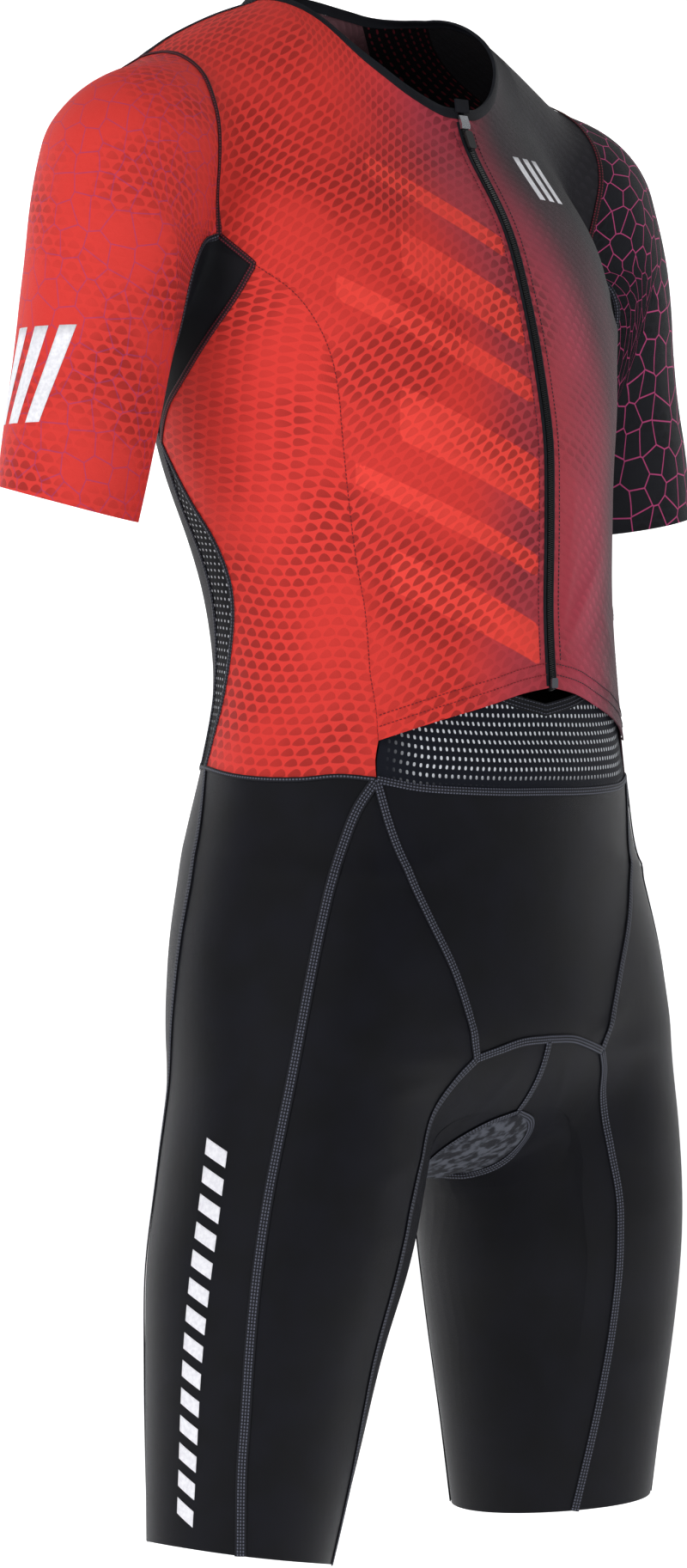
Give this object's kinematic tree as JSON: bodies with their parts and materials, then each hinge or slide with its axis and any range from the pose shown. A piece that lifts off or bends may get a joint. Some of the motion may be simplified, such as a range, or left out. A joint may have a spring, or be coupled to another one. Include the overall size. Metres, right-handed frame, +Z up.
{
  "type": "triathlon suit",
  "caption": "Short-sleeved one-piece triathlon suit: full front zip with a free hem over a mesh waist, mesh shoulder yokes, thigh-length legs and a seat pad.",
  "frame": {"origin": "centre of the neck opening at shoulder height, where the garment hangs on its wearer", "axes": "+Z up towards the neck, -Y out of the front where the zip is, +X towards the wearer's left side"},
  "size_m": [0.6182, 0.2692, 1.0056],
  "materials": {
    "red_knit": "matt stretch knit, red scale print",
    "grey_knit": "matt stretch knit, grey-mauve scale print",
    "dark_knit": "matt stretch knit, near black",
    "shorts_knit": "smooth stretch knit, blue-black, soft sheen",
    "mesh": "open knit, near black",
    "pad_foam": "mottled grey padded insert",
    "trim": "black binding and zip tape",
    "coil": "black zip teeth",
    "metal": "bright cast metal",
    "rubber": "black moulded tab"
  },
  "bodies": {
    "garment": {"front_right": "red_knit", "front_left": "grey_knit", "side_right": "red_knit", "side_left": "grey_knit", "side_mesh_right": "mesh", "side_mesh_left": "mesh", "gusset_right": "dark_knit", "gusset_left": "dark_knit", "yoke_right": "mesh", "yoke_left": "mesh", "sleeve_right": "red_knit", "sleeve_left": "dark_knit", "back": "dark_knit", "waist_mesh": "mesh", "waist_band": "dark_knit", "shorts_front": "shorts_knit", "pad": "pad_foam", "neck_binding": "trim", "zip_tape_right": "trim", "zip_tape_left": "trim", "zip_chain": "coil", "zip_slider": "metal", "zip_garage": "trim", "zip_stop": "metal", "leg_front_right": "shorts_knit", "leg_side_right": "shorts_knit", "leg_back_right": "shorts_knit", "leg_inner_right": "shorts_knit", "leg_front_left": "shorts_knit", "leg_side_left": "shorts_knit", "leg_back_left": "shorts_knit", "leg_inner_left": "shorts_knit"},
    "pull_tab": {"zip_pull": "rubber"}
  },
  "joints": [
    {"name": "pull_swing", "type": "hinge", "parent": "garment", "child": "pull_tab", "pos_m": [0, -0.08938, -0.08273], "axis": [-1, 0, 0], "range_deg": [0, 150]}
  ]
}
